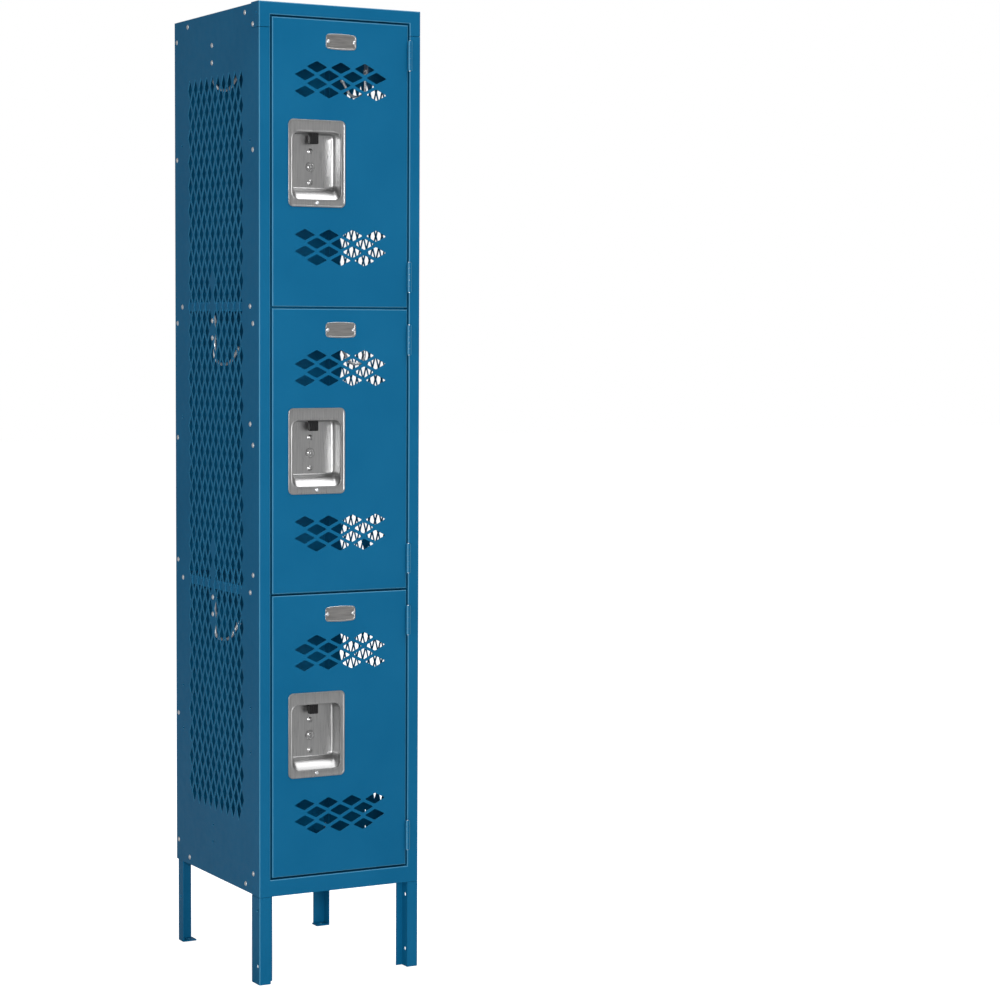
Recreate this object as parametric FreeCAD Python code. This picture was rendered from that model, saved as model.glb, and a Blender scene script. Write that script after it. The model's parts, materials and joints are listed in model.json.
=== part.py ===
"""Three-tier ventilated steel locker on legs.

Millimetres, +Z up, +X to the right of a person facing the doors, fronts facing -Y.
The shapes are drawn with the front face at y = 0 and moved so that the origin is
the centre of the footprint, hinge barrels included, on the floor.
"""
import FreeCAD
import Part
import math
import os

V = FreeCAD.Vector
X, Y, Z = V(1, 0, 0), V(0, 1, 0), V(0, 0, 1)

# Overall size: 12 x 15 x 66 inches with 6 inch legs
WIDTH = 304.8
DEPTH = 381.0
HEIGHT = 1676.4
LEG_HEIGHT = 152.4
TIERS = 3

# Sheet gauges and bends
STEEL = 1.5
SHEET = 1.2
LEG_STEEL = 1.9
BEND = 2.5
SEAM = 0.8

# Face frame
FACE = 21.0
TOP_FACE = 22.0
BOTTOM_FACE = 28.8
OUTER_RETURN = 33.0
REVEAL = 20.0
LIP = 11.5
EAR = 43.0
OPEN_X = WIDTH / 2 - FACE
OPEN_TOP = HEIGHT - TOP_FACE
OPEN_BOTTOM = LEG_HEIGHT + BOTTOM_FACE
STOP = REVEAL + STEEL

# Layers at the side walls, from the outside in
OUTER_X = WIDTH / 2
WALL_X = OUTER_X - STEEL
INSIDE_X = WALL_X - STEEL
FLANGE_X = INSIDE_X - SHEET
PANEL_TOP = HEIGHT - STEEL
BACK_Y = DEPTH - SHEET

# Doors
GAP = 3.2
DOOR_W = 2 * (OPEN_X - GAP)
DOOR_H = (OPEN_TOP - OPEN_BOTTOM - (TIERS + 1) * GAP) / TIERS
DOOR_T = 19.0
DOOR_RETURN = 10.0
PITCH = DOOR_H + GAP

# Diamond vents of the doors
VENT_A, VENT_B = 19.6, 9.9
VENT_TIP, VENT_CROWN = 1.2, 5.0
VENT_DX, VENT_DZ = 45.0, 14.2
VENT_FIRST = 80.0
VENT_ROWS = 4

# Diamond perforations of the side walls
PERF_A, PERF_B, PERF_TIP = 9.8, 19.3, 1.4
PERF_DY, PERF_DZ = 25.4, 21.37
PERF_Y, PERF_Z = 80.9, 1549.7
PERF_ROWS, PERF_COLUMNS = 60, 10
SOLID_COLUMN = 5
SOLID_ROWS = (16, 18, 20, 38, 40, 42, 44)

# Recessed handle pan, placed from the middle of its door
PAN_X, PAN_W, PAN_H = -45.4, 107.0, 148.0
PAN_FLANGE = 2.0
PAN_STEEL = 1.0
RECESS_W, RECESS_TOP, RECESS_BOTTOM = 90.0, 52.5, -61.0
RECESS_DEPTH = 27.0
RECESS_SLOPE = 16.0
PAN_SCREW_Z = -66.7

# Lift trigger and latch bar
TRIGGER_W, TRIGGER_DROP, TRIGGER_RISE = 17.0, 18.6, 14.0
TRIGGER_Y0, TRIGGER_Y1 = 11.5, 20.0
BAR_Y0, BAR_Y1 = 9.5, 11.5
BAR_X0, BAR_X1 = -125.8, -111.0
BAR_HALF = 190.0
CATCH_Z = 150.0
GUIDE_Z = 100.0
CATCH_X0, CATCH_X1 = -122.5, -120.5
BARB = 5.0
CLEAR = 0.6

# Hinges
KNUCKLE_R, PIN_R = 4.0, 1.6
PIVOT_X, PIVOT_Y = OPEN_X - GAP / 2, -3.6
LEAF = 1.2
HINGE_L, HINGE_INSET = 51.5, 27.0
KNUCKLES = 5
PROUD = KNUCKLE_R - PIVOT_Y

# Fasteners and holes
BOLT_R, BOLT_HEAD_R, BOLT_HEAD_H = 2.4, 4.4, 2.0
NUT_R, NUT_H = 4.7, 3.0
HOLE_R = 2.8

FRONT = PROUD - (DEPTH + PROUD) / 2


def block(x0, x1, y0, y1, z0, z1):
    return Part.makeBox(x1 - x0, y1 - y0, z1 - z0, V(x0, y0, z0))


def fuse(shapes):
    return shapes[0].multiFuse(shapes[1:]).removeSplitter()


def mirrored(shape):
    return shape.mirror(V(0, 0, 0), X)


def both_sides(shape):
    return [shape, mirrored(shape)]


def prism(points, reach):
    return Part.Face(Part.makePolygon(points + points[:1])).extrude(reach)


def save(name, shapes):
    if not isinstance(shapes, list):
        shapes = [shapes]
    shape = shapes[0] if len(shapes) == 1 else Part.makeCompound(shapes)
    shape.translate(Y * FRONT)
    shape.exportStep("parts/%s.step" % name)


def rounded_wire(points, radii):
    """A closed wire through the points, each corner rounded to its own radius."""
    edges = []
    ends = []
    for i, (p, r) in enumerate(zip(points, radii)):
        a = (points[i - 1] - p).normalize()
        b = (points[(i + 1) % len(points)] - p).normalize()
        if r == 0:
            ends.append((p, p))
            continue
        half = a.getAngle(b) / 2
        reach = r / math.tan(half)
        middle = p + (a + b).normalize() * (r / math.sin(half) - r)
        edges.append(Part.Arc(p + a * reach, middle, p + b * reach).toShape())
        ends.append((p + a * reach, p + b * reach))
    for i, (start, end) in enumerate(ends):
        edges.append(Part.makeLine(ends[i - 1][1], start))
    return Part.Wire(Part.__sortEdges__(edges))


def plate(points, radii, reach):
    return Part.Face(rounded_wire(points, radii)).extrude(reach)


def rounded_block(w, x, y0, y1, z0, z1, r):
    """A plate in the XZ plane with round corners, centred on x."""
    points = [V(x - w / 2, y0, z0), V(x + w / 2, y0, z0), V(x + w / 2, y0, z1), V(x - w / 2, y0, z1)]
    return plate(points, [r] * 4, Y * (y1 - y0))


# ---- round edges of the bent steel

def edge_waste(corner, into, along):
    """What a bend leaves off a sharp edge: its corner, the way into the face, its run."""
    a, b = corner + into * BEND, corner + Y * BEND
    middle = corner + (into + Y) * (BEND * (1 - math.sqrt(0.5)))
    edges = [Part.makeLine(corner, a), Part.Arc(a, middle, b).toShape(), Part.makeLine(b, corner)]
    return Part.Face(Part.Wire(edges)).extrude(along)


def mitred_waste(p, q, into):
    """The same for one edge of the door opening, mitred into its neighbours."""
    along = (q - p).normalize()
    waste = edge_waste(p - along * BEND, into, q - p + along * (2 * BEND))
    out = into * BEND
    limit = prism([p, q, q + out + along * BEND, p + out - along * BEND], Y * BEND)
    return waste.common(limit)


def frame_wastes():
    low_l, low_r = V(-OPEN_X, 0, OPEN_BOTTOM), V(OPEN_X, 0, OPEN_BOTTOM)
    top_l, top_r = V(-OPEN_X, 0, OPEN_TOP), V(OPEN_X, 0, OPEN_TOP)
    inner = [
        mitred_waste(low_l, low_r, -Z),
        mitred_waste(low_r, top_r, X),
        mitred_waste(top_r, top_l, Z),
        mitred_waste(top_l, low_l, -X),
    ]
    sides = [edge_waste(V(s * OUTER_X, 0, 0), X * -s, Z * HEIGHT) for s in (-1, 1)]
    top = edge_waste(V(-OUTER_X, 0, HEIGHT), -Z, X * WIDTH)
    return Part.makeCompound(inner + sides + [top])


# ---- bolts: where they are, and the holes they need

def gap_z(n):
    """Height of the middle of the gap under door n, counted from 1."""
    return OPEN_TOP - GAP / 2 - n * PITCH


def door_z(n):
    """Height of the middle of door n."""
    return OPEN_TOP - GAP - DOOR_H / 2 - (n - 1) * PITCH


SHELF_RISE = 10.0
TOP_BOLT_Z, BOTTOM_BOLT_Z = HEIGHT - 14.0, LEG_HEIGHT + 13.0
FRONT_BOLT_Y, REAR_BOLT_Y = 26.5, 370.5
EDGE_BOLTS = (1639.5, 1429.0, 1135.5, 928.5, 706.0, 424.0)
LEG_BOLT_Z = 189.5
SHELF_BOLT_Y = (42.0, 347.0)
TRAY_BOLT_Y = (63.0, 319.0)
HOOK_Y, HOOK_SPAN = PERF_Y + SOLID_COLUMN * PERF_DY, 30.0
HOOK_BOLTS = (1620.0, 1140.0, 651.5)
SPARE_HOLES = (
    (42.0, 1446.0), (347.0, 1453.0), (347.0, 966.0), (42.0, 476.0), (347.0, 478.0),
    (42.0, 397.0), (347.0, 399.0), (HOOK_Y, 244.0), (HOOK_Y, 214.0),
)


def bolt_list():
    """Each bolt of one side wall: y, z, head plane, nut plane."""
    bolts = [(FRONT_BOLT_Y, z, OUTER_X, INSIDE_X) for z in EDGE_BOLTS[:-1]]
    bolts += [(REAR_BOLT_Y, z, WALL_X, FLANGE_X) for z in EDGE_BOLTS]
    bolts.append((FRONT_BOLT_Y, LEG_BOLT_Z, OUTER_X, INSIDE_X - STEEL))
    bolts.append((REAR_BOLT_Y, LEG_BOLT_Z, WALL_X, FLANGE_X - LEG_STEEL))
    for n in (1, 2):
        bolts += [(y, gap_z(n) + SHELF_RISE - 8, WALL_X, FLANGE_X) for y in SHELF_BOLT_Y]
    bolts.append((SHELF_BOLT_Y[0], 964.0, WALL_X, INSIDE_X))
    for z in (TOP_BOLT_Z, BOTTOM_BOLT_Z):
        bolts += [(y, z, WALL_X, FLANGE_X) for y in TRAY_BOLT_Y]
    for top in HOOK_BOLTS:
        bolts += [(HOOK_Y, z, WALL_X, INSIDE_X - HOOK_PLATE) for z in (top, top - HOOK_SPAN)]
    return bolts


HOOK_PLATE = 2.0
DRILL_IN = 9.0


def drills():
    """Holes for every bolt, through the layers of both side walls."""
    shapes = []
    for y, z, _, _ in bolt_list():
        drill = Part.makeCylinder(HOLE_R, DRILL_IN, V(OUTER_X + 1 - DRILL_IN, y, z), X)
        shapes += both_sides(drill)
    return Part.makeCompound(shapes)


def drilled(shape):
    return shape.cut(DRILLS)


# ---- face frame

def upright():
    z0, z1 = LEG_HEIGHT, HEIGHT - EAR - SEAM
    walls = [
        block(OPEN_X, OUTER_X, 0, STEEL, z0, z1),
        block(WALL_X, OUTER_X, 0, OUTER_RETURN, z0, z1),
        block(OPEN_X, OPEN_X + STEEL, 0, STOP, z0, z1),
        block(OPEN_X - LIP, OPEN_X + STEEL, REVEAL, STOP, OPEN_BOTTOM + LIP, z1),
    ]
    return drilled(fuse(walls).cut(FRAME_WASTES))


SPARE_Y, SPARE_Z = 11.0, HEIGHT - 18.5


def top_rail():
    z0 = HEIGHT - EAR
    opening = block(-OPEN_X, OPEN_X, -1, STEEL + 1, z0 - 1, OPEN_TOP)
    walls = [
        block(-OUTER_X, OUTER_X, 0, STEEL, z0, HEIGHT).cut(opening),
        block(-OUTER_X, OUTER_X, 0, OUTER_RETURN, HEIGHT - STEEL, HEIGHT),
        block(-OPEN_X - STEEL, OPEN_X + STEEL, 0, STOP, OPEN_TOP, OPEN_TOP + STEEL),
        block(-OPEN_X, OPEN_X, REVEAL, STOP, OPEN_TOP - LIP, OPEN_TOP + STEEL),
    ]
    walls += both_sides(block(WALL_X, OUTER_X, 0, OUTER_RETURN, z0, HEIGHT))
    walls += both_sides(block(OPEN_X, OPEN_X + STEEL, 0, STOP, z0, OPEN_TOP))
    walls += both_sides(block(OPEN_X - LIP, OPEN_X + STEEL, REVEAL, STOP, z0, OPEN_TOP))
    rail = fuse(walls).cut(FRAME_WASTES)
    for hole in both_sides(Part.makeCylinder(HOLE_R, STEEL, V(WALL_X, SPARE_Y, SPARE_Z), X)):
        rail = rail.cut(hole)
    return drilled(rail)


def bottom_rail():
    walls = [
        block(-OPEN_X, OPEN_X, 0, STEEL, LEG_HEIGHT, OPEN_BOTTOM),
        block(-OPEN_X, OPEN_X, 0, OUTER_RETURN, LEG_HEIGHT, LEG_HEIGHT + STEEL),
        block(-OPEN_X, OPEN_X, 0, STOP, OPEN_BOTTOM - STEEL, OPEN_BOTTOM),
        block(-OPEN_X, OPEN_X, REVEAL, STOP, OPEN_BOTTOM - STEEL, OPEN_BOTTOM + LIP),
    ]
    return fuse(walls).cut(FRAME_WASTES)


CROSS_HALF_H, CROSS_HALF_W, CROSS_BACK = 14.0, 145.0, 33.5


def cross_member(n):
    z, t = gap_z(n), STEEL
    w, h = CROSS_HALF_W, CROSS_HALF_H
    return fuse([
        block(-w, w, STOP, STOP + t, z - h, z + h),
        block(-w, w, STOP, CROSS_BACK, z + h - t, z + h),
        block(-w, w, STOP, CROSS_BACK, z - h, z - h + t),
    ])


# ---- legs

TONGUE_LOW, TONGUE_TOP = 100.0, 214.0
GANG_Y, GANG_R, GANG_Z = 9.0, 3.3, (31.6, 129.0)


def front_leg():
    top = LEG_HEIGHT - SEAM
    tongue_x = INSIDE_X - STEEL
    walls = [
        block(OPEN_X, OUTER_X, 0, STEEL, 0, top),
        block(WALL_X, OUTER_X, 0, OUTER_RETURN, 0, top),
        block(OPEN_X, OPEN_X + STEEL, 0, STOP, 0, top),
        block(OPEN_X - LIP, OPEN_X + STEEL, REVEAL, STOP, 0, top),
        block(OPEN_X + STEEL, INSIDE_X, STEEL, 2 * STEEL, TONGUE_LOW, TONGUE_TOP),
        block(tongue_x, INSIDE_X, STEEL, OUTER_RETURN - 1, TONGUE_LOW, TONGUE_TOP),
    ]
    leg = fuse(walls).cut(FRAME_WASTES)
    for z in GANG_Z:
        leg = leg.cut(Part.makeCylinder(GANG_R, FACE + 2, V(OPEN_X - 1, GANG_Y, z), X))
    return drilled(leg)


REAR_LEG_W, REAR_HOLE_Z, FOOT_T, FOOT_W, ANCHOR_R = 22.0, 83.0, 2.6, 26.0, 4.0


def rear_leg():
    x1, y1 = FLANGE_X, BACK_Y
    w, t = REAR_LEG_W, LEG_STEEL
    walls = [
        block(x1 - t, x1, y1 - w, y1, 0, TONGUE_TOP),
        block(x1 - w - t, x1, y1 - t, y1, 0, TONGUE_TOP),
        block(x1 - FOOT_W, x1, y1 - w, y1, 0, FOOT_T),
    ]
    middle = V(x1 - (t + FOOT_W) / 2, y1 - (t + w) / 2, -1)
    leg = fuse(walls).cut(Part.makeCylinder(ANCHOR_R, FOOT_T + 2, middle))
    leg = leg.cut(Part.makeCylinder(GANG_R, t + 2, V(x1 - t - 1, y1 - w / 2, REAR_HOLE_Z), X))
    return drilled(leg)


# ---- walls, back, top, bottom and shelves

def diamond(centre, u, w, a, b, tips):
    """A diamond hole's wire: half-widths a along u and b along w, tip radii."""
    points = [centre - u * a, centre - w * b, centre + u * a, centre + w * b]
    return rounded_wire(points, tips)


def perforations(x):
    wires = []
    for row in range(PERF_ROWS):
        odd = row % 2
        for column in range(PERF_COLUMNS - odd):
            if column == SOLID_COLUMN and row in SOLID_ROWS:
                continue
            y = PERF_Y + (column + odd / 2) * PERF_DY
            centre = V(x, y, PERF_Z - row * PERF_DZ)
            wires.append(diamond(centre, Y, Z, PERF_A, PERF_B, [0, PERF_TIP, 0, PERF_TIP]))
    return wires


WALL_FRONT = 12.0


def side_panel():
    """The right wall; the holes are wires of the face, so no cut is needed."""
    x = INSIDE_X
    corners = [
        V(x, WALL_FRONT, LEG_HEIGHT), V(x, DEPTH, LEG_HEIGHT),
        V(x, DEPTH, PANEL_TOP), V(x, WALL_FRONT, PANEL_TOP),
    ]
    wires = [Part.makePolygon(corners + corners[:1])] + perforations(x)
    for y, z in [bolt[:2] for bolt in bolt_list()] + list(SPARE_HOLES):
        wires.append(Part.Wire(Part.makeCircle(HOLE_R, V(x, y, z), X)))
    face = Part.makeFace(wires, "Part::FaceMakerBullseye")
    return face.extrude(X * STEEL)


BACK_FLANGE = 18.0


def back_panel():
    return block(-INSIDE_X, INSIDE_X, BACK_Y, DEPTH, LEG_HEIGHT, PANEL_TOP)


def back_flanges():
    """The two strips that join the back sheet to the side walls, one on each side."""
    strip = block(FLANGE_X, INSIDE_X, BACK_Y - BACK_FLANGE, BACK_Y, LEG_HEIGHT, PANEL_TOP)
    return both_sides(drilled(strip))


TRAY_FRONT, TRAY_NOTCH, TRAY_REAR_X, TONGUE_X = 34.0, 356.0, 145.9, 130.0


def tray(top, drop, front, rear):
    """A flat sheet with its edges turned down, notched round the posts."""
    low, sheet = top - drop, top - SHEET
    walls = [
        block(-INSIDE_X, INSIDE_X, TRAY_FRONT, TRAY_NOTCH, sheet, top),
        block(-TRAY_REAR_X, TRAY_REAR_X, TRAY_NOTCH, rear, sheet, top),
        block(-TONGUE_X, TONGUE_X, front, TRAY_FRONT, sheet, top),
        block(-TRAY_REAR_X, TRAY_REAR_X, rear - SHEET, rear, low, top),
        block(-TONGUE_X, TONGUE_X, front, front + SHEET, low, top),
    ]
    walls += both_sides(block(FLANGE_X, INSIDE_X, TRAY_FRONT, TRAY_NOTCH, low, top))
    return drilled(fuse(walls))


def top_panel():
    return tray(PANEL_TOP, TOP_FACE - 5, STOP, BACK_Y)


def shelf(n):
    return tray(gap_z(n) + SHELF_RISE, 16.0, STOP + STEEL, BACK_Y)


def bottom_panel():
    return tray(OPEN_BOTTOM - 2.6, 24.0, STOP, BACK_Y - 2.2)


# ---- fasteners

def domed_head(radius, height):
    """A round head, its flat side on the XY plane, domed towards +Z."""
    sphere_r = (radius ** 2 + height ** 2) / (2 * height)
    ball = Part.makeSphere(sphere_r, V(0, 0, height - sphere_r))
    return ball.common(Part.makeCylinder(radius, height))


def side_bolts():
    shapes = []
    for y, z, head_x, nut_x in bolt_list():
        head = domed_head(BOLT_HEAD_R, BOLT_HEAD_H)
        length = head_x - nut_x + NUT_H + 1
        bolt = head.fuse(Part.makeCylinder(BOLT_R, length, V(0, 0, 0), -Z))
        bolt.rotate(V(0, 0, 0), Y, 90)
        bolt.translate(V(head_x, y, z))
        shapes += both_sides(bolt)
    return shapes


def side_nuts():
    shapes = []
    for y, z, _, nut_x in bolt_list():
        corners = [V(NUT_R * math.cos(a), NUT_R * math.sin(a), 0) for a in
                   [math.radians(60 * k) for k in range(6)]]
        nut = prism(corners, Z * NUT_H).cut(Part.makeCylinder(BOLT_R + 0.05, NUT_H))
        nut.rotate(V(0, 0, 0), Y, 90)
        nut.translate(V(nut_x - NUT_H, y, z))
        shapes += both_sides(nut)
    return shapes


# ---- coat hooks

HOOK_WIRE_R, HOOK_BALL_R = 2.6, 4.2
HOOK_PLATE_W, HOOK_MARGIN = 13.0, 10.0
HOOK_STEP, HOOK_START, HOOK_LOW, HOOK_TIP = (2.8, 31.0, 48.0), 5.5, 46.5, 19.0
HOOK_BEND = 17.0


def rounded_rod(points, bends, radius):
    """A round rod along straight runs joined by tangent arcs."""
    edges, last = [], points[0]
    for i in range(1, len(points) - 1):
        p = points[i]
        a = (points[i - 1] - p).normalize()
        b = (points[i + 1] - p).normalize()
        half = a.getAngle(b) / 2
        reach = bends[i - 1] / math.tan(half)
        middle = p + (a + b).normalize() * (bends[i - 1] / math.sin(half) - bends[i - 1])
        edges.append(Part.makeLine(last, p + a * reach))
        edges.append(Part.Arc(p + a * reach, middle, p + b * reach).toShape())
        last = p + b * reach
    edges.append(Part.makeLine(last, points[-1]))
    path = Part.Wire(edges)
    ring = Part.Wire(Part.makeCircle(radius, points[0], points[1] - points[0]))
    return path.makePipeShell([ring], True, True)


def wall_hook(top):
    """A single-prong hook on the right wall: a bolted plate, and a wire that drops and turns up."""
    low = top - HOOK_SPAN
    x = INSIDE_X
    half, reach = HOOK_PLATE_W / 2, HOOK_MARGIN
    corners = [
        V(x, HOOK_Y - half, low - reach), V(x, HOOK_Y + half, low - reach),
        V(x, HOOK_Y + half, top + reach), V(x, HOOK_Y - half, top + reach),
    ]
    base = plate(corners, [5.0] * 4, X * -HOOK_PLATE)
    near, under, tip = [x - step for step in HOOK_STEP]
    path = [V(near, HOOK_Y, low - HOOK_START), V(near, HOOK_Y, low - HOOK_LOW),
            V(under, HOOK_Y, low - HOOK_LOW), V(tip, HOOK_Y, low - HOOK_TIP)]
    rod = rounded_rod(path, [HOOK_BEND, HOOK_BEND], HOOK_WIRE_R)
    ball = Part.makeSphere(HOOK_BALL_R, path[-1])
    return drilled(base.fuse([rod, ball]))


# ---- hinges

def knuckle_spans():
    length = HINGE_L / KNUCKLES
    return [(k * length + 0.15, (k + 1) * length - 0.15) for k in range(KNUCKLES)]


def hinge_half(z, first, x0, x1):
    """One leaf with its own knuckles: every second one from the first."""
    pivot = V(PIVOT_X, PIVOT_Y, z)
    shapes = [block(x0, x1, PIVOT_Y + KNUCKLE_R + 0.5, 15.0, z, z + HINGE_L)]
    for a, b in knuckle_spans()[first::2]:
        tube = Part.makeCylinder(KNUCKLE_R, b - a, pivot + Z * a)
        tab = block(x0, x1, PIVOT_Y + 2.8, PIVOT_Y + KNUCKLE_R + 0.6, z + a, z + b)
        shapes += [tube, tab]
    half = shapes[0].multiFuse(shapes[1:]).removeSplitter()
    return half.cut(Part.makeCylinder(PIN_R + 0.05, HINGE_L, pivot))


def hinge_heights(n):
    middle = door_z(n)
    reach = DOOR_H / 2 - HINGE_INSET
    return [middle - reach, middle + reach - HINGE_L]


def frame_leaves(n):
    return [hinge_half(z, 0, OPEN_X - LEAF, OPEN_X) for z in hinge_heights(n)]


def door_leaves(n):
    return [hinge_half(z, 1, DOOR_W / 2, DOOR_W / 2 + LEAF) for z in hinge_heights(n)]


def hinge_pins():
    shapes = []
    for n in range(1, TIERS + 1):
        for z in hinge_heights(n):
            foot = V(PIVOT_X, PIVOT_Y, z - 0.8)
            shapes.append(Part.makeCylinder(PIN_R, HINGE_L + 1.6, foot))
    return shapes


# ---- catches and silencers on the frame

def frame_catches():
    """Hooks on the left stop lip; each barb points up behind the latch bar's window."""
    shapes = []
    for n in range(1, TIERS + 1):
        for z in (door_z(n) - CATCH_Z, door_z(n) + CATCH_Z):
            side = [
                V(CATCH_X0, REVEAL, z - 8), V(CATCH_X0, REVEAL, z), V(CATCH_X0, 9.0, z),
                V(CATCH_X0, 9.0, z + BARB), V(CATCH_X0, 7.5, z + BARB), V(CATCH_X0, 6.0, z + 1),
                V(CATCH_X0, 6.0, z - 3),
            ]
            shapes.append(prism(side, X * (CATCH_X1 - CATCH_X0)))
    return shapes


SILENCER_R, SILENCER_T, SILENCER_Z = 4.5, 0.9, 205.0


def silencers():
    shapes = []
    for n in range(1, TIERS + 1):
        for dz in (-SILENCER_Z, SILENCER_Z):
            spot = V(OPEN_X - LIP / 2, REVEAL - SILENCER_T, door_z(n) + dz)
            shapes += both_sides(Part.makeCylinder(SILENCER_R, SILENCER_T, spot, Y))
    return shapes


# ---- doors

def vents(n):
    """Two groups of four rows, 3 and 4 diamonds in turn; the lower group is the mirror."""
    shapes = []
    top = door_z(n) + DOOR_H / 2
    low = door_z(n) - DOOR_H / 2
    for row in range(VENT_ROWS):
        count = 3 + row % 2
        for k in range(count):
            x = (k - (count - 1) / 2) * VENT_DX
            reach = VENT_FIRST + row * VENT_DZ
            for z in (top - reach, low + reach):
                wire = diamond(V(x, -1, z), X, Z, VENT_A, VENT_B,
                               [VENT_TIP, VENT_CROWN, VENT_TIP, VENT_CROWN])
                shapes.append(Part.Face(wire).extrude(Y * (STEEL + 2)))
    return Part.makeCompound(shapes)


def door_panel(n):
    """A pan with its four sides turned back and a return along both long sides."""
    z, h, w = door_z(n), DOOR_H / 2, DOOR_W / 2
    outer = block(-w, w, 0, DOOR_T, z - h, z + h)
    front = [e for e in outer.Edges if e.BoundBox.YMax < 0.01]
    outer = outer.makeFillet(BEND, front)
    t = STEEL
    shell = outer.cut(block(-w + t, w - t, t, DOOR_T - t, z - h + t, z + h - t))
    shell = shell.cut(block(-w + DOOR_RETURN + t, w - DOOR_RETURN - t, t, DOOR_T + 1, z - h + t, z + h - t))
    middle = z + (RECESS_TOP + RECESS_BOTTOM) / 2
    half = (RECESS_TOP - RECESS_BOTTOM) / 2 + 3
    shell = shell.cut(rounded_block(RECESS_W + 6, PAN_X, -1, t + 1, middle - half, middle + half, 14.0))
    for dz in (-CATCH_Z, CATCH_Z):
        reach = DOOR_RETURN + t
        slot = block(-w + t, -w + reach + 1, DOOR_T - t - 0.5, DOOR_T + 1, z + dz - 16, z + dz + 16)
        shell = shell.cut(slot)
    holes = [V(PAN_X, -1, z + PAN_SCREW_Z)]
    holes += [V(s * PLATE_RIVET, -1, plate_z(n)) for s in (-1, 1)]
    for spot in holes:
        shell = shell.cut(Part.makeCylinder(RIVET_R, t + 2, spot, Y))
    return shell.cut(vents(n))


PLATE_W, PLATE_H, PLATE_BULGE, PLATE_T = 57.0, 24.0, 1.5, 0.8
PLATE_RIVET, PLATE_DROP = 24.5, 36.0
RIVET_R, RIVET_HEAD_R, RIVET_HEAD_H = 1.3, 1.9, 0.8


def plate_z(n):
    return door_z(n) + DOOR_H / 2 - PLATE_DROP


def number_plate(n):
    """A blank plate with its top and bottom edges bowed out."""
    z, w, h = plate_z(n), PLATE_W / 2, PLATE_H / 2
    corners = [V(-w, 0, z - h), V(w, 0, z - h), V(w, 0, z + h), V(-w, 0, z + h)]
    edges = [
        Part.Arc(corners[0], V(0, 0, z - h - PLATE_BULGE), corners[1]).toShape(),
        Part.makeLine(corners[1], corners[2]),
        Part.Arc(corners[2], V(0, 0, z + h + PLATE_BULGE), corners[3]).toShape(),
        Part.makeLine(corners[3], corners[0]),
    ]
    body = Part.Face(Part.Wire(edges)).extrude(Y * -PLATE_T)
    for s in (-1, 1):
        body = body.cut(Part.makeCylinder(RIVET_R, 3, V(s * PLATE_RIVET, -2, z), Y))
    return body


def headed_pin(spot, radius, head_r, head_h, length):
    """A headed fastener along +Y, its head standing out towards -Y."""
    pin = domed_head(head_r, head_h).fuse(Part.makeCylinder(radius, length, V(0, 0, 0), -Z))
    pin.rotate(V(0, 0, 0), X, 90)
    pin.translate(spot)
    return pin


def plate_rivets(n):
    spots = [V(s * PLATE_RIVET, -PLATE_T, plate_z(n)) for s in (-1, 1)]
    return [headed_pin(p, RIVET_R - 0.05, RIVET_HEAD_R, RIVET_HEAD_H, PLATE_T + STEEL + 1) for p in spots]


def recess(grow, y0, y1, n):
    """The pan's hollow between two depths, or its outside when grown by the sheet."""
    z = door_z(n)
    depth = RECESS_DEPTH + grow
    wires = []
    for y in (y0, y1):
        share = y / depth
        w = RECESS_W / 2 + grow - 1.5 * share
        top = z + RECESS_TOP + grow - 1.5 * share
        low = z + RECESS_BOTTOM - grow + RECESS_SLOPE * share
        r = 12.0 + grow - 4.0 * share
        points = [V(PAN_X - w, y, low), V(PAN_X + w, y, low), V(PAN_X + w, y, top), V(PAN_X - w, y, top)]
        wires.append(rounded_wire(points, [r] * 4))
    return Part.makeLoft(wires, True, True)


LOCK_RING_Z, LOCK_RING_R = -4.5, 8.0
BUTTON_Z, BUTTON_R = (22.0, -31.0), 4.2


def handle_pan(n):
    """A drawn pan: a flange with a round edge, a hollow, and the marks of the lock fixing."""
    z = door_z(n)
    flange = rounded_block(PAN_W, PAN_X, -PAN_FLANGE, 0, z - PAN_H / 2, z + PAN_H / 2, 9.0)
    rim = [e for e in flange.Edges if e.BoundBox.YMax < -PAN_FLANGE + 0.01]
    flange = flange.makeFillet(PAN_FLANGE * 0.8, rim)
    body = flange.fuse(recess(PAN_STEEL, -0.5, RECESS_DEPTH + PAN_STEEL, n))
    body = body.cut(recess(0, -PAN_FLANGE - 1, RECESS_DEPTH, n))
    floor = RECESS_DEPTH
    for dz in BUTTON_Z:
        button = domed_head(BUTTON_R, 1.6)
        button.rotate(V(0, 0, 0), X, 90)
        button.translate(V(PAN_X, floor + 0.2, z + dz))
        body = body.fuse(button)
    ring = Part.makeCylinder(LOCK_RING_R, 1.0, V(PAN_X, floor - 0.7, z + LOCK_RING_Z), Y)
    ring = ring.cut(Part.makeCylinder(LOCK_RING_R - 2.2, 1.0, V(PAN_X, floor - 0.7, z + LOCK_RING_Z), Y))
    body = body.fuse(ring)
    slot_w = TRIGGER_W / 2 + 1.5
    top = z + RECESS_TOP
    slot = block(PAN_X - slot_w, PAN_X + slot_w, TRIGGER_Y0 - 1, TRIGGER_Y1 + 1, top - 4, top + 4)
    body = body.cut(slot)
    return body.cut(Part.makeCylinder(RIVET_R, 6, V(PAN_X, -4, z + PAN_SCREW_Z), Y))


def pan_screw(n):
    spot = V(PAN_X, -PAN_FLANGE, door_z(n) + PAN_SCREW_Z)
    return headed_pin(spot, RIVET_R - 0.05, 3.2, 1.4, PAN_FLANGE + STEEL + 2)


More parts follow.
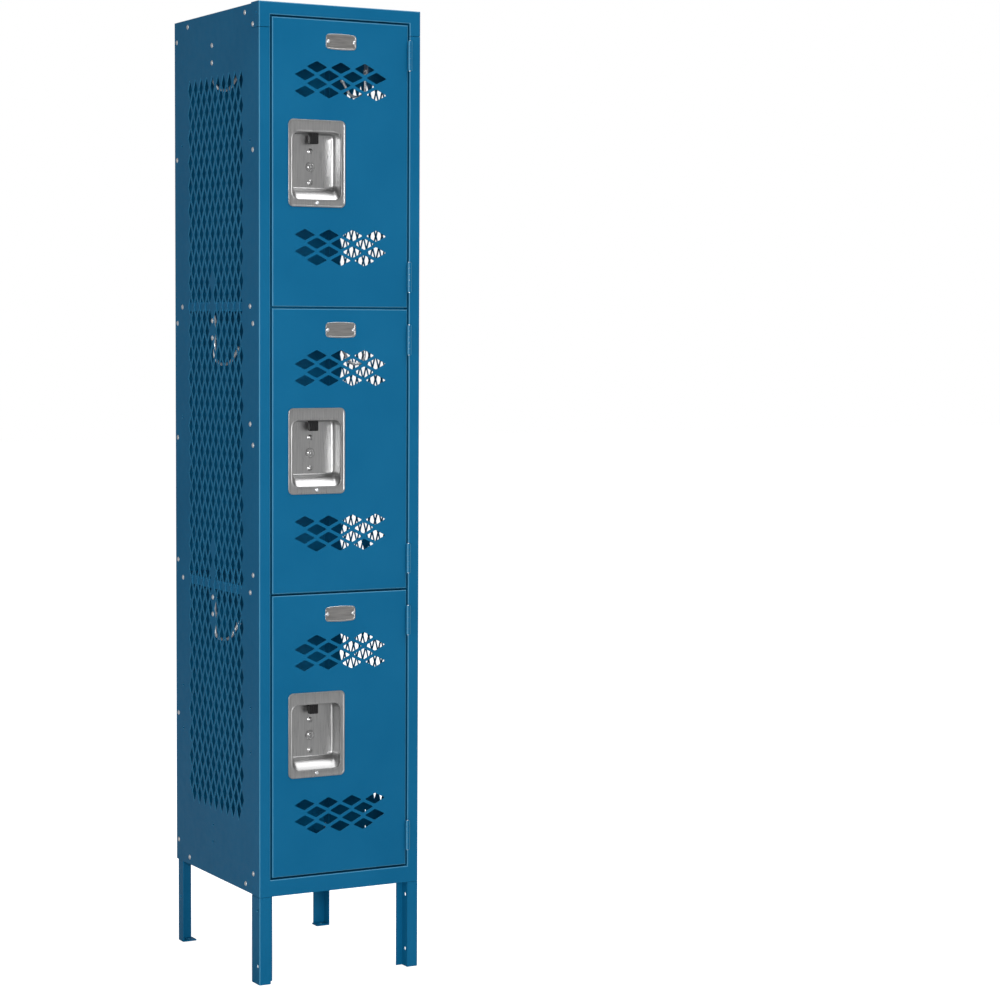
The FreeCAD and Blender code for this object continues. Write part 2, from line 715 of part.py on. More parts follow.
def latch_guides(n):
    shapes = []
    for dz in (-GUIDE_Z, GUIDE_Z):
        z = door_z(n) + dz
        keeper = block(-DOOR_W / 2 + STEEL, BAR_X1 + 2, BAR_Y1 + 0.5, BAR_Y1 + 2, z - 6, z + 6)
        foot = block(BAR_X1 + 0.5, BAR_X1 + 2, STEEL, BAR_Y1 + 2, z - 6, z + 6)
        shapes.append(fuse([keeper, foot]))
    return shapes


# ---- lift trigger and latch bar

def latch_bar(n):
    """An upright bar with a window for each catch, and an arm across to the trigger."""
    z, top = door_z(n), door_z(n) + RECESS_TOP
    bar = block(BAR_X0, BAR_X1, BAR_Y0, BAR_Y1, z - BAR_HALF, z + BAR_HALF)
    arm = block(BAR_X0, PAN_X + TRIGGER_W / 2, BAR_Y0, BAR_Y1, top + 4, top + TRIGGER_RISE)
    bar = fuse([bar, arm])
    for dz in (-CATCH_Z, CATCH_Z):
        catch = z + dz
        window = block(BAR_X0 + 1, BAR_X0 + 9, 0, DOOR_T, catch - 24, catch + BARB + CLEAR)
        bar = bar.cut(window)
    return bar


def lift_trigger(n):
    """A moulded finger lift with a round lower edge and a notch beside its lock eye."""
    top = door_z(n) + RECESS_TOP
    w = TRIGGER_W / 2
    low = top - TRIGGER_DROP
    points = [
        V(PAN_X - w, TRIGGER_Y0, low + 2), V(PAN_X - 1, TRIGGER_Y0, low + 2), V(PAN_X - 1, TRIGGER_Y0, low),
        V(PAN_X + w, TRIGGER_Y0, low), V(PAN_X + w, TRIGGER_Y0, top + TRIGGER_RISE),
        V(PAN_X - w, TRIGGER_Y0, top + TRIGGER_RISE),
    ]
    body = plate(points, [1.8, 0, 0, 1.8, 1.0, 1.0], Y * (TRIGGER_Y1 - TRIGGER_Y0))
    grip = block(PAN_X - w - 1, PAN_X + w + 1, TRIGGER_Y0 - 1, TRIGGER_Y0 + 2.5, low + 5, low + 12)
    return body.cut(grip)


os.makedirs("parts", exist_ok=True)
FRAME_WASTES = frame_wastes()
DRILLS = drills()

save("right_upright", upright())
save("left_upright", mirrored(upright()))
save("top_rail", top_rail())
save("bottom_rail", bottom_rail())
save("upper_cross_member", cross_member(1))
save("lower_cross_member", cross_member(2))
save("front_right_leg", front_leg())
save("front_left_leg", mirrored(front_leg()))
save("rear_right_leg", rear_leg())
save("rear_left_leg", mirrored(rear_leg()))
save("right_side_panel", side_panel())
save("left_side_panel", mirrored(side_panel()))
save("back_panel", back_panel())
save("back_flanges", back_flanges())
save("top_panel", top_panel())
save("upper_shelf", shelf(1))
save("lower_shelf", shelf(2))
save("bottom_panel", bottom_panel())
save("side_bolts", side_bolts())
save("side_nuts", side_nuts())
save("hinge_pins", hinge_pins())
save("frame_catches", frame_catches())
save("silencers", silencers())
for tier, hook_top in enumerate(HOOK_BOLTS, 1):
    save("right_hook_%d" % tier, wall_hook(hook_top))
    save("left_hook_%d" % tier, mirrored(wall_hook(hook_top)))
for tier in range(1, TIERS + 1):
    save("frame_hinge_leaves_%d" % tier, frame_leaves(tier))
    save("door_hinge_leaves_%d" % tier, door_leaves(tier))
    save("door_panel_%d" % tier, door_panel(tier))
    save("number_plate_%d" % tier, number_plate(tier))
    save("plate_rivets_%d" % tier, plate_rivets(tier))
    save("handle_pan_%d" % tier, handle_pan(tier))
    save("pan_screw_%d" % tier, pan_screw(tier))
    save("latch_guides_%d" % tier, latch_guides(tier))
    save("latch_bar_%d" % tier, latch_bar(tier))
    save("lift_trigger_%d" % tier, lift_trigger(tier))
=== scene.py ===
"""Three-tier ventilated steel locker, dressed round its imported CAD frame."""
import json
import math

import bmesh
import bpy
from mathutils import Matrix, Vector

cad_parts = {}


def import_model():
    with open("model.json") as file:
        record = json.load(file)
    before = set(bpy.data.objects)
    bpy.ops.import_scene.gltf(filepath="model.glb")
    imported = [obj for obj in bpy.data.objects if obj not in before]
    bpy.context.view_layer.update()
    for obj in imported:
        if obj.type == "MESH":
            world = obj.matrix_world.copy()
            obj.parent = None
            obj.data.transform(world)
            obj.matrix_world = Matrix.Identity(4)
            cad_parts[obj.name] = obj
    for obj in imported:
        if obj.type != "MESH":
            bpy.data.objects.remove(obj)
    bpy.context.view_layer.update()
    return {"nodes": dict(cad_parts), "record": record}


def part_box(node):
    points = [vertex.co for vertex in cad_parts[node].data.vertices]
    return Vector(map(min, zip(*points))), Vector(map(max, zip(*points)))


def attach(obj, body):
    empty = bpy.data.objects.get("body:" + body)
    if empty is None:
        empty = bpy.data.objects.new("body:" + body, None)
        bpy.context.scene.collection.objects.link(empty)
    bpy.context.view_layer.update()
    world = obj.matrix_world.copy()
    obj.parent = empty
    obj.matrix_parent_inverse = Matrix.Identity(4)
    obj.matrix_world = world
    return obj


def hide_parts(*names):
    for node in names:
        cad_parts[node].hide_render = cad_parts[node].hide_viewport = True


MM = 0.001
TIERS = (1, 2, 3)
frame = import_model()
nodes = frame["nodes"]

# The camera stands front left of the locker, a little below its middle door's top.
CAMERA_AT = Vector((-1.9284, -4.2414, 1.1308))
CAMERA_YAW, CAMERA_PITCH, CAMERA_ROLL = 28.95, -3.79, 0.31
CAMERA_LENS = 93.69

# Light the surroundings give, and what the floor adds so that it meets the white backdrop.
AMBIENT = 0.24
FLOOR_GLOW = 0.95

# Half the floor's width in metres, and how far it lies under the feet in millimetres.
FLOOR_HALF, FLOOR_BELOW = 20.0, 0.5


# ---- materials

def start_material(name, colour, roughness, metallic=0.0):
    """A principled material and a helper that adds nodes to it."""
    mat = bpy.data.materials.new(name)
    mat.use_nodes = True
    tree = mat.node_tree
    shader = tree.nodes["Principled BSDF"]
    shader.inputs["Base Color"].default_value = (*colour, 1)
    shader.inputs["Roughness"].default_value = roughness
    shader.inputs["Metallic"].default_value = metallic
    return mat, tree, shader


def noise(tree, scale, detail=2.0, stretch=(1, 1, 1)):
    """Noise over the object's own coordinates, in cells per metre."""
    where = tree.nodes.new("ShaderNodeTexCoord")
    mapping = tree.nodes.new("ShaderNodeMapping")
    mapping.inputs["Scale"].default_value = stretch
    tex = tree.nodes.new("ShaderNodeTexNoise")
    tex.inputs["Scale"].default_value = scale
    tex.inputs["Detail"].default_value = detail
    tree.links.new(where.outputs["Object"], mapping.inputs["Vector"])
    tree.links.new(mapping.outputs["Vector"], tex.inputs["Vector"])
    return tex.outputs["Fac"]


def spread(tree, value, low, high, to_low, to_high):
    """Maps a value from one range to another."""
    node = tree.nodes.new("ShaderNodeMapRange")
    node.inputs["From Min"].default_value = low
    node.inputs["From Max"].default_value = high
    node.inputs["To Min"].default_value = to_low
    node.inputs["To Max"].default_value = to_high
    tree.links.new(value, node.inputs["Value"])
    return node.outputs["Result"]


def tint(tree, value, colour_a, colour_b):
    """A colour between two, by a value."""
    ramp = tree.nodes.new("ShaderNodeValToRGB")
    ramp.color_ramp.elements[0].position = 0.3
    ramp.color_ramp.elements[1].position = 0.7
    ramp.color_ramp.elements[0].color = (*colour_a, 1)
    ramp.color_ramp.elements[1].color = (*colour_b, 1)
    tree.links.new(value, ramp.inputs["Fac"])
    return ramp.outputs["Color"]


def bump(tree, shader, heights, strength, distance):
    """Chains bumps of several heights onto the shader's normal."""
    last = None
    for height in heights:
        node = tree.nodes.new("ShaderNodeBump")
        node.inputs["Strength"].default_value = strength
        node.inputs["Distance"].default_value = distance
        tree.links.new(height, node.inputs["Height"])
        if last:
            tree.links.new(last, node.inputs["Normal"])
        last = node.outputs["Normal"]
    tree.links.new(last, shader.inputs["Normal"])


PAINT = (0.002, 0.116, 0.252)
PAINT_LIGHT = (0.004, 0.128, 0.272)
# Lighter blue painted on bends and cut edges as a painted highlight.
PAINT_BEND_HIGHLIGHT = (0.09, 0.31, 0.48)


def bend_highlight_mask(tree):
    """1 on bends and cut edges, where the object's own normal is far from every axis; it places the
    painted highlight on bends.
    """
    where = tree.nodes.new("ShaderNodeTexCoord")
    parts = tree.nodes.new("ShaderNodeSeparateXYZ")
    tree.links.new(where.outputs["Normal"], parts.inputs["Vector"])
    most = None
    for axis in "XYZ":
        size = tree.nodes.new("ShaderNodeMath")
        size.operation = "ABSOLUTE"
        tree.links.new(parts.outputs[axis], size.inputs[0])
        if most is None:
            most = size.outputs["Value"]
            continue
        larger = tree.nodes.new("ShaderNodeMath")
        larger.operation = "MAXIMUM"
        tree.links.new(most, larger.inputs[0])
        tree.links.new(size.outputs["Value"], larger.inputs[1])
        most = larger.outputs["Value"]
    return spread(tree, most, 0.75, 0.96, 1, 0)


def mixed(tree, share, colour, other):
    """A colour linked in, mixed towards another by a share."""
    mix = tree.nodes.new("ShaderNodeMix")
    mix.data_type = "RGBA"
    tree.links.new(share, mix.inputs["Factor"])
    tree.links.new(colour, mix.inputs["A"])
    mix.inputs["B"].default_value = (*other, 1)
    return mix.outputs["Result"]


def blue_paint():
    """Satin powder coat: fine orange peel, faint clouding, uneven gloss and a painted highlight on its
    bends.
    """
    mat, tree, shader = start_material("blue_powder_coat", PAINT, 0.34)
    shader.inputs["Specular IOR Level"].default_value = 0.12
    clouds = tint(tree, noise(tree, 9, 3), PAINT, PAINT_LIGHT)
    # Bends and cut edges are mixed towards the lighter blue: a painted highlight.
    tree.links.new(mixed(tree, bend_highlight_mask(tree), clouds, PAINT_BEND_HIGHLIGHT), shader.inputs["Base Color"])
    tree.links.new(spread(tree, noise(tree, 60, 4), 0.3, 0.7, 0.30, 0.40), shader.inputs["Roughness"])
    bump(tree, shader, [noise(tree, 420, 1), noise(tree, 1500, 2)], 0.25, 0.00006)
    return mat


def stainless():
    """Drawn stainless with a fine upright brushing."""
    mat, tree, shader = start_material("brushed_stainless", (0.42, 0.42, 0.42), 0.34, 1.0)
    grain = noise(tree, 900, 3, (1, 1, 0.03))
    colour = tint(tree, grain, (0.37, 0.37, 0.375), (0.49, 0.49, 0.485))
    tree.links.new(colour, shader.inputs["Base Color"])
    tree.links.new(spread(tree, grain, 0.3, 0.7, 0.27, 0.42), shader.inputs["Roughness"])
    bump(tree, shader, [grain], 0.18, 0.00004)
    return mat


def zinc():
    """Bright zinc plate, a little cloudy."""
    mat, tree, shader = start_material("zinc_plate", (0.78, 0.80, 0.82), 0.34, 0.8)
    cloud = noise(tree, 260, 4)
    colour = tint(tree, cloud, (0.72, 0.75, 0.78), (0.86, 0.87, 0.88))
    tree.links.new(colour, shader.inputs["Base Color"])
    tree.links.new(spread(tree, cloud, 0.3, 0.7, 0.28, 0.45), shader.inputs["Roughness"])
    bump(tree, shader, [noise(tree, 1800, 2)], 0.15, 0.00003)
    return mat


def aluminium():
    """Satin aluminium with a grain along its length, and a painted highlight where it bends."""
    mat, tree, shader = start_material("satin_aluminium", (0.36, 0.35, 0.34), 0.42, 1.0)
    grain = noise(tree, 1200, 3, (0.04, 1, 1))
    field = tint(tree, grain, (0.27, 0.265, 0.26), (0.39, 0.38, 0.37))
    # Bends are mixed towards near-white: a painted highlight.
    tree.links.new(mixed(tree, bend_highlight_mask(tree), field, (0.78, 0.77, 0.76)), shader.inputs["Base Color"])
    tree.links.new(spread(tree, grain, 0.3, 0.7, 0.36, 0.5), shader.inputs["Roughness"])
    bump(tree, shader, [grain], 0.15, 0.00003)
    return mat


def black_plastic():
    """Moulded plastic with a fine texture."""
    mat, tree, shader = start_material("black_plastic", (0.012, 0.012, 0.013), 0.5)
    shader.inputs["Specular IOR Level"].default_value = 0.3
    tree.links.new(spread(tree, noise(tree, 500, 2), 0.3, 0.7, 0.38, 0.55), shader.inputs["Roughness"])
    bump(tree, shader, [noise(tree, 2200, 2)], 0.3, 0.00005)
    return mat


def black_rubber():
    """Matt rubber."""
    mat, tree, shader = start_material("black_rubber", (0.02, 0.02, 0.02), 0.8)
    bump(tree, shader, [noise(tree, 3000, 3)], 0.3, 0.00005)
    return mat


MATERIALS = {
    "blue_paint": blue_paint(),
    "stainless": stainless(),
    "zinc_plate": zinc(),
    "aluminium": aluminium(),
    "black_plastic": black_plastic(),
    "black_rubber": black_rubber(),
}


def dress_cad_nodes():
    """Every CAD node takes the finish of its own slot."""
    for part in frame["record"]["subparts"]:
        mesh = nodes[part["node"]].data
        mesh.materials.clear()
        mesh.materials.append(MATERIALS[part["material_slot"]])


SHARP, EDGE = math.radians(30), 0.35
SOFTENED = ("upright", "rail", "leg", "panel", "shelf", "member", "trigger", "latch", "leaves")


def soften_edges():
    """Sheared and bent steel has a small round edge that catches the light."""
    for name, node in nodes.items():
        if not any(word in name for word in SOFTENED) or name.endswith("side_panel"):
            continue
        bevel = node.modifiers.new("edge", "BEVEL")
        bevel.width = EDGE * MM
        bevel.segments = 2
        bevel.limit_method = "ANGLE"
        bevel.angle_limit = SHARP
        bevel.harden_normals = True
        bevel.use_clamp_overlap = True


# ---- mesh helpers

def new_piece(name, mesh, slot, body, *cad_nodes):
    """A finished piece: its material, slot, body and the CAD nodes it stands for."""
    piece = bpy.data.objects.new(name, mesh)
    bpy.context.scene.collection.objects.link(piece)
    mesh.materials.clear()
    mesh.materials.append(MATERIALS[slot])
    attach(piece, body)
    if cad_nodes:
        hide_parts(*cad_nodes)
    return piece


def to_mesh(bm, name, angle=SHARP):
    """A smooth mesh from a bmesh, sharp only where its faces turn by more than the angle."""
    bmesh.ops.recalc_face_normals(bm, faces=bm.faces)
    mesh = bpy.data.meshes.new(name)
    for edge in bm.edges:
        edge.smooth = edge.calc_face_angle(0) < angle
    bm.to_mesh(mesh)
    bm.free()
    mesh.polygons.foreach_set("use_smooth", [True] * len(mesh.polygons))
    return mesh


def skin(bm, loops, cap_first=False):
    """Joins rings of equal length with quads, closes the last one and, if asked, the first."""
    rings = [[bm.verts.new(p) for p in loop] for loop in loops]
    for a, b in zip(rings, rings[1:]):
        for i in range(len(a)):
            j = (i + 1) % len(a)
            bm.faces.new((a[i], a[j], b[j], b[i]))
    if cap_first:
        bm.faces.new(rings[0])
    bm.faces.new(rings[-1])


def lathe(bm, centre, profile, steps=32):
    """A closed shape turned about the Y axis, from a profile of (radius, y) pairs in millimetres."""
    turns = [2 * math.pi * k / steps for k in range(steps)]
    loops = []
    for r, y in profile:
        radius = r * MM
        loops.append([
            centre + Vector((radius * math.cos(a), y * MM, radius * math.sin(a)))
            for a in turns
        ])
    skin(bm, loops, cap_first=True)


LEAST_CORNER = 0.6


class Rect:
    """A rounded rectangle in the XZ plane."""

    def __init__(self, x0, x1, z0, z1, r):
        self.x0, self.x1, self.z0, self.z1, self.r = x0, x1, z0, z1, r

    def inset(self, d, low=0.0):
        """Smaller by d all round, and by low more at the bottom."""
        r = max(self.r - d, LEAST_CORNER * MM)
        return Rect(self.x0 + d, self.x1 - d, self.z0 + d + low, self.z1 - d, r)

    def loop(self, y, steps=9):
        """Its outline at depth y, as points that go round once."""
        corners = (
            (self.x1, self.z1, 0), (self.x0, self.z1, 90),
            (self.x0, self.z0, 180), (self.x1, self.z0, 270),
        )
        points = []
        for x, z, start in corners:
            cx = x - math.copysign(self.r, x - (self.x0 + self.x1) / 2)
            cz = z - math.copysign(self.r, z - (self.z0 + self.z1) / 2)
            for k in range(steps):
                a = math.radians(start + 90 * k / (steps - 1))
                points.append(Vector((cx + self.r * math.cos(a), y, cz + self.r * math.sin(a))))
        return points


# ---- the drawn handle pan

PAN_FLANGE = 2.0
RECESS_DEPTH = 27.0
PAN_CORNER, MOUTH_CORNER, FLOOR_CORNER, FLOOR_FILLET = 9.0, 12.0, 2.0, 4.0
SIDE_FLANGE, TOP_FLANGE, BOTTOM_FLANGE = 8.5, 21.5, 13.0
FLOOR_RISE, FLOOR_REACH, FLOOR_CURVE = 17.0, 0.7, 1.6
WALL_DRAFT, WALL_START, CORNER_CLOSING = 1.2, 0.3, 5.0
WALL_STEPS, FILLET_STEPS = 6, 6
PAN_STEEL = 0.9
RIM = ((0, 0), (0, -1.0), (0.4, -1.7), (1.2, -2.0), (2.1, -1.9), (3.0, -1.45), (3.8, -1.25))
LIP = ((-4.4, -1.25), (-3.4, -1.4), (-2.4, -1.8), (-1.4, -2.0), (-0.5, -1.7), (0.1, -0.9), (0.3, 0.4))
BUTTONS, LOCK_RING = (22.0, -31.0), -4.5
BUTTON_PROFILE = ((5.2, 0.3), (5.0, -0.1), (4.2, -0.4), (3.4, -1.2), (2.2, -1.8), (0.6, -2.1))
RING_PROFILE = ((8.9, 0.3), (8.6, -0.2), (7.9, -0.9), (7.0, -0.9), (6.2, -0.2), (4.6, 0.1),
                (3.6, -0.3), (2.8, -0.9), (1.9, -0.9), (1.2, -0.3), (0.5, 0.0))


def pan_mesh(outer, face_y, name):
    """The pan as one sheet: raised rim, flange, rolled lip, hollow and its floor."""
    bm = bmesh.new()
    mouth = Rect(outer.x0 + SIDE_FLANGE * MM, outer.x1 - SIDE_FLANGE * MM,
                 outer.z0 + BOTTOM_FLANGE * MM, outer.z1 - TOP_FLANGE * MM, MOUTH_CORNER * MM)
    loops = [outer.inset(d * MM).loop(face_y + y * MM) for d, y in RIM]
    loops += [mouth.inset(d * MM).loop(face_y + y * MM) for d, y in LIP]
    wall_end = RECESS_DEPTH - FLOOR_FILLET
    for k in range(1, WALL_STEPS + 1):
        y = wall_end * k / WALL_STEPS
        loops.append(pan_wall(mouth, y, 0).loop(face_y + y * MM))
    for k in range(1, FILLET_STEPS + 1):
        a = math.radians(90 / FILLET_STEPS * k)
        y = wall_end + FLOOR_FILLET * math.sin(a)
        loops.append(pan_wall(mouth, y, FLOOR_FILLET * (1 - math.cos(a))).loop(face_y + y * MM))
    skin(bm, loops)
    return to_mesh(bm, name)


def pan_wall(mouth, y, extra):
    """The hollow's outline at depth y: its lower wall rises steeply from the lip, then levels off."""
    share = y / RECESS_DEPTH
    rise = FLOOR_RISE * (1 - (1 - min(share / FLOOR_REACH, 1)) ** FLOOR_CURVE)
    corner = mouth.inset((WALL_START + WALL_DRAFT * share + extra) * MM, rise * MM)
    corner.r = max((MOUTH_CORNER - CORNER_CLOSING * share - extra) * MM, FLOOR_CORNER * MM)
    return corner


def pan_marks_mesh(centre, name):
    """The two round dimples and the ring of the covered lock hole, on the pan's floor."""
    bm = bmesh.new()
    for dz in BUTTONS:
        lathe(bm, centre + Vector((0, 0, dz * MM)), BUTTON_PROFILE)
    lathe(bm, centre + Vector((0, 0, LOCK_RING * MM)), RING_PROFILE)
    return to_mesh(bm, name)


def applied(obj):
    """The object's mesh with its modifiers applied."""
    graph = bpy.context.evaluated_depsgraph_get()
    return bpy.data.meshes.new_from_object(obj.evaluated_get(graph))


def handle_pan(n):
    """The pan of a tier as a thickened sheet, and the marks on its floor."""
    low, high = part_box("handle_pan_%d" % n)
    outer = Rect(low.x, high.x, low.z, high.z, PAN_CORNER * MM)
    face_y = low.y + PAN_FLANGE * MM
    sheet = bpy.data.objects.new("sheet", pan_mesh(outer, face_y, "pan"))
    bpy.context.scene.collection.objects.link(sheet)
    thick = sheet.modifiers.new("thickness", "SOLIDIFY")
    thick.thickness = PAN_STEEL * MM
    thick.offset = -1
    mesh = applied(sheet)
    bpy.data.objects.remove(sheet)
    mesh.name = "handle_pan_sheet_%d" % n
    new_piece("pan_sheet_%d" % n, mesh, "stainless", "door_%d" % n, "handle_pan_%d" % n)
    centre = Vector(((low.x + high.x) / 2, face_y + RECESS_DEPTH * MM, (low.z + high.z) / 2))
    marks = pan_marks_mesh(centre, "pan_marks_%d" % n)
    new_piece("pan_marks_%d" % n, marks, "stainless", "door_%d" % n)


# ---- number plates

PLATE_BULGE, PLATE_CORNER = 1.5, 5.0
PLATE_SPAN_STEPS, PLATE_BOW_FULL = 12, 0.6
PLATE_PROFILE = ((0, 0), (0, -0.5), (0.3, -0.8), (1.5, -0.85), (1.9, -0.8), (2.4, -0.45), (3.2, -0.4))


def plate_outline(centre, half_w, half_h, inset, y):
    """A plate's outline with bowed top and bottom edges and round corners."""
    w, h = half_w - inset * MM, half_h - inset * MM
    r = max(PLATE_CORNER - inset, 0.5) * MM
    bare = Rect(-w, w, -h, h, r).loop(0, 7)
    points = []
    for i, p in enumerate(bare):
        points.append(p)
        q = bare[(i + 1) % len(bare)]
        if abs(q.x - p.x) > w:
            points += [p.lerp(q, k / PLATE_SPAN_STEPS) for k in range(1, PLATE_SPAN_STEPS)]
    bow = PLATE_BULGE * MM
    shaped = []
    for p in points:
        share = min(1, abs(p.z) / (h * PLATE_BOW_FULL))
        out = math.copysign(bow * (1 - (p.x / half_w) ** 2), p.z) * share
        shaped.append(centre + Vector((p.x, y * MM, p.z + out)))
    return shaped


def number_plate(n):
    """A blank plate with a raised border, where the number would be."""
    low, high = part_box("number_plate_%d" % n)
    centre = Vector(((low.x + high.x) / 2, high.y, (low.z + high.z) / 2))
    half_w, half_h = (high.x - low.x) / 2, (high.z - low.z) / 2 - PLATE_BULGE * MM
    bm = bmesh.new()
    loops = [plate_outline(centre, half_w, half_h, d, y) for d, y in PLATE_PROFILE]
    skin(bm, loops, cap_first=True)
    mesh = to_mesh(bm, "number_plate_%d" % n)
    new_piece("tag_%d" % n, mesh, "aluminium", "door_%d" % n, "number_plate_%d" % n)


RIVET_SEAT = 0.4
RIVET_PROFILE = ((3.1, 0.4), (3.1, -0.2), (2.9, -0.6), (2.3, -1.0), (1.4, -1.25), (0.5, -1.35))


def rivets(n):
    """The two domed rivets of a number plate."""
    low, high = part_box("plate_rivets_%d" % n)
    radius = (high.z - low.z) / 2
    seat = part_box("number_plate_%d" % n)[0].y + RIVET_SEAT * MM
    bm = bmesh.new()
    for x in (low.x + radius, high.x - radius):
        lathe(bm, Vector((x, seat, low.z + radius)), RIVET_PROFILE)
    mesh = to_mesh(bm, "rivets_%d" % n)
    new_piece("rivets_%d" % n, mesh, "zinc_plate", "door_%d" % n, "plate_rivets_%d" % n)


# ---- screws

HEAD_RISE, SLOT_LENGTH, SLOT_DEPTH, SLOT_WIDTH = 1.4, 3.4, 1.6, 0.9
SLOT_FROM_SEAT = 1.5
SCREW_HEAD = ((0.9, 1.5), (3.2, 0.0), (3.2, -0.5), (3.0, -0.95), (2.5, -1.3), (1.7, -1.5), (0.6, -1.55))


def cross_slot(centre):
    """A cutter for a cross recess."""
    bm = bmesh.new()
    for turn in (0, 90):
        spin = Matrix.Rotation(math.radians(turn), 4, "Y")
        box = bmesh.ops.create_cube(bm, size=1)["verts"]
        shape = Matrix.Diagonal((SLOT_LENGTH * MM, SLOT_DEPTH * MM, SLOT_WIDTH * MM, 1))
        bmesh.ops.transform(bm, matrix=Matrix.Translation(centre) @ spin @ shape, verts=box)
    mesh = bpy.data.meshes.new("cutter")
    bm.to_mesh(mesh)
    bm.free()
    return mesh


def pan_screw(n):
    """The countersunk screw over a pan, with its cross recess."""
    low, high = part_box("pan_screw_%d" % n)
    seat = Vector(((low.x + high.x) / 2, low.y + HEAD_RISE * MM, (low.z + high.z) / 2))
    bm = bmesh.new()
    lathe(bm, seat, SCREW_HEAD, 40)
    head = bpy.data.objects.new("head", to_mesh(bm, "head"))
    cutter = bpy.data.objects.new("cutter", cross_slot(seat - Vector((0, SLOT_FROM_SEAT * MM, 0))))
    for obj in (head, cutter):
        bpy.context.scene.collection.objects.link(obj)
    cut = head.modifiers.new("slot", "BOOLEAN")
    cut.operation = "DIFFERENCE"
    cut.solver = "EXACT"
    cut.use_self = True
    cut.object = cutter
    mesh = applied(head)
    for obj in (head, cutter):
        bpy.data.objects.remove(obj)
    mesh.name = "screw_head_%d" % n
    new_piece("screw_head_%d" % n, mesh, "zinc_plate", "door_%d" % n, "pan_screw_%d" % n)


# ---- lift triggers

RIBS, RIB_DEPTH, SHOULDER = 4, 1.0, 1.3
STEM, SHOULDER_RISE, TOP_EDGE = 16.0, 0.8, 0.5
TRIGGER_LEVELS = ((0, 1.6), (0.3, 0.7), (1.0, 0.2), (2.0, 0))


def trigger_outline(low, high, z, inset, left):
    """The trigger's section at one height, its front face ribbed and its left side set in."""
    x0, x1 = low.x + (left + inset) * MM, high.x - inset * MM
    y0, y1 = low.y + inset * MM, high.y - inset * MM
    points = [Vector((x1, y1, z)), Vector((x0, y1, z))]
    steps = 4 * RIBS
    for k in range(steps + 1):
        x = x0 + (x1 - x0) * k / steps
        points.append(Vector((x, y0 + RIB_DEPTH * MM * (0, 0, 1, 1)[k % 4], z)))
    return points


def lift_trigger(n):
    """The plastic lift in a pan: ribbed in front, stepped out under its top."""
    low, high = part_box("lift_trigger_%d" % n)
    shoulder = high.z - STEM * MM
    bm = bmesh.new()
    loops = [trigger_outline(low, high, low.z + dz * MM, d, SHOULDER) for dz, d in TRIGGER_LEVELS]
    loops.append(trigger_outline(low, high, shoulder, 0, SHOULDER))
    loops.append(trigger_outline(low, high, shoulder + SHOULDER_RISE * MM, 0, 0))
    loops.append(trigger_outline(low, high, high.z - TOP_EDGE * MM, 0, 0))
    loops.append(trigger_outline(low, high, high.z, TOP_EDGE, 0))
    skin(bm, loops, cap_first=True)
    mesh = to_mesh(bm, "trigger_%d" % n)
    new_piece("trigger_%d" % n, mesh, "black_plastic", "lift_%d" % n, "lift_trigger_%d" % n)


# ---- camera, floor and light

def camera():
    """The photograph's camera, turned from facing +Y."""
    data = bpy.data.cameras.new("camera")
    data.lens = CAMERA_LENS
    data.sensor_width = 36.0
    data.clip_end = 60.0
    cam = bpy.data.objects.new("camera", data)
    turn = Matrix.Rotation(-math.radians(CAMERA_YAW), 4, "Z")
    tilt = Matrix.Rotation(math.radians(90 + CAMERA_PITCH), 4, "X")
    roll = Matrix.Rotation(math.radians(CAMERA_ROLL), 4, "Z")
    cam.matrix_world = Matrix.Translation(CAMERA_AT) @ turn @ tilt @ roll
    bpy.context.scene.collection.objects.link(cam)
    bpy.context.scene.camera = cam


# Each softbox: its name, place, what it faces, width, height and watts, in metres. The key is
# near the camera, the strip lights the left wall, and the rear one the back in other views.
SOFTBOXES = (
    ("key", (-1.85, -4.35, 1.25), (0, 0, 0.85), 0.7, 0.7, 118),
    ("strip", (-3.3, -1.5, 0.95), (0, 0, 0.85), 0.5, 3.0, 25),
    ("fill", (2.2, -3.6, 1.0), (0, 0, 0.85), 2.4, 3.0, 9),
    ("top", (1.4, -1.3, 4.6), (0, 0, 0.9), 2.8, 2.8, 95),
    ("rear", (2.0, 3.0, 4.2), (0, 0, 0.9), 2.4, 2.4, 60),
)


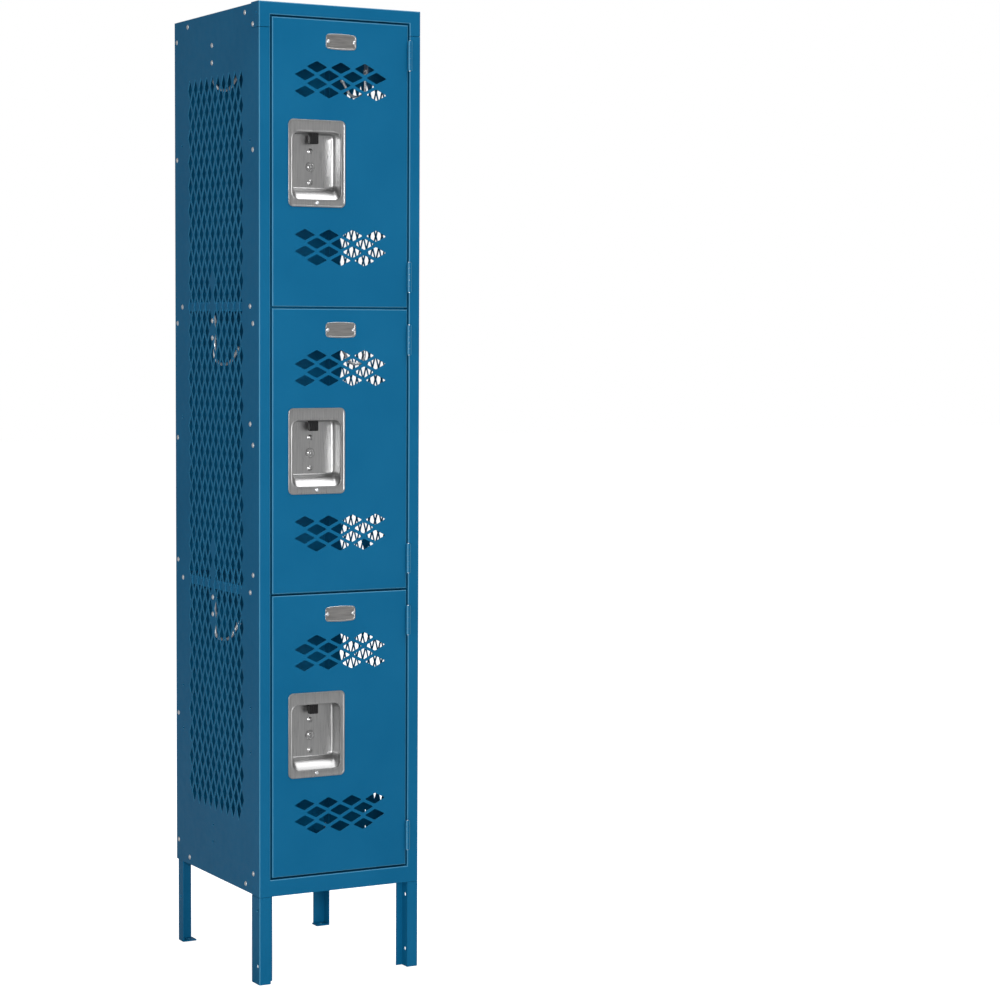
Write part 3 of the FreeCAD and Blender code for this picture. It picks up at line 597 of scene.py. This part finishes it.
def area_light(name, at, towards, width, height, watts):
    data = bpy.data.lights.new(name, "AREA")
    data.shape = "RECTANGLE"
    data.size, data.size_y = width, height
    data.energy = watts
    light = bpy.data.objects.new(name, data)
    light.location = at
    light.rotation_euler = (Vector(towards) - Vector(at)).to_track_quat("-Z", "Y").to_euler()
    bpy.context.scene.collection.objects.link(light)


def floor():
    """A pale floor, just bright enough to meet the backdrop without a line."""
    bm = bmesh.new()
    bmesh.ops.create_grid(bm, x_segments=1, y_segments=1, size=FLOOR_HALF)
    mesh = bpy.data.meshes.new("floor")
    bm.to_mesh(mesh)
    bm.free()
    mat, tree, shader = start_material("pale_floor", (0.5, 0.5, 0.5), 0.7)
    shader.inputs["Specular IOR Level"].default_value = 0.0
    shader.inputs["Emission Color"].default_value = (1, 1, 1, 1)
    rays = tree.nodes.new("ShaderNodeLightPath")
    glow = spread(tree, rays.outputs["Is Camera Ray"], 0, 1, 0, FLOOR_GLOW)
    tree.links.new(glow, shader.inputs["Emission Strength"])
    mesh.materials.append(mat)
    obj = bpy.data.objects.new("floor", mesh)
    obj.location.z = -FLOOR_BELOW * MM
    bpy.context.scene.collection.objects.link(obj)


def world():
    """A white backdrop that lights the locker less than its brightness would."""
    scene = bpy.context.scene
    scene.world = bpy.data.worlds.new("studio")
    scene.world.use_nodes = True
    tree = scene.world.node_tree
    soft = tree.nodes["Background"]
    soft.inputs["Color"].default_value = (1, 1, 1, 1)
    soft.inputs["Strength"].default_value = AMBIENT
    white = tree.nodes.new("ShaderNodeBackground")
    white.inputs["Color"].default_value = (1, 1, 1, 1)
    white.inputs["Strength"].default_value = 1.0
    rays = tree.nodes.new("ShaderNodeLightPath")
    mix = tree.nodes.new("ShaderNodeMixShader")
    tree.links.new(rays.outputs["Is Camera Ray"], mix.inputs["Fac"])
    tree.links.new(soft.outputs["Background"], mix.inputs[1])
    tree.links.new(white.outputs["Background"], mix.inputs[2])
    tree.links.new(mix.outputs["Shader"], tree.nodes["World Output"].inputs["Surface"])


dress_cad_nodes()
soften_edges()
for tier in TIERS:
    handle_pan(tier)
    number_plate(tier)
    rivets(tier)
    pan_screw(tier)
    lift_trigger(tier)
camera()
for softbox in SOFTBOXES:
    area_light(*softbox)
floor()
world()
bpy.context.scene.view_settings.view_transform = "Standard"
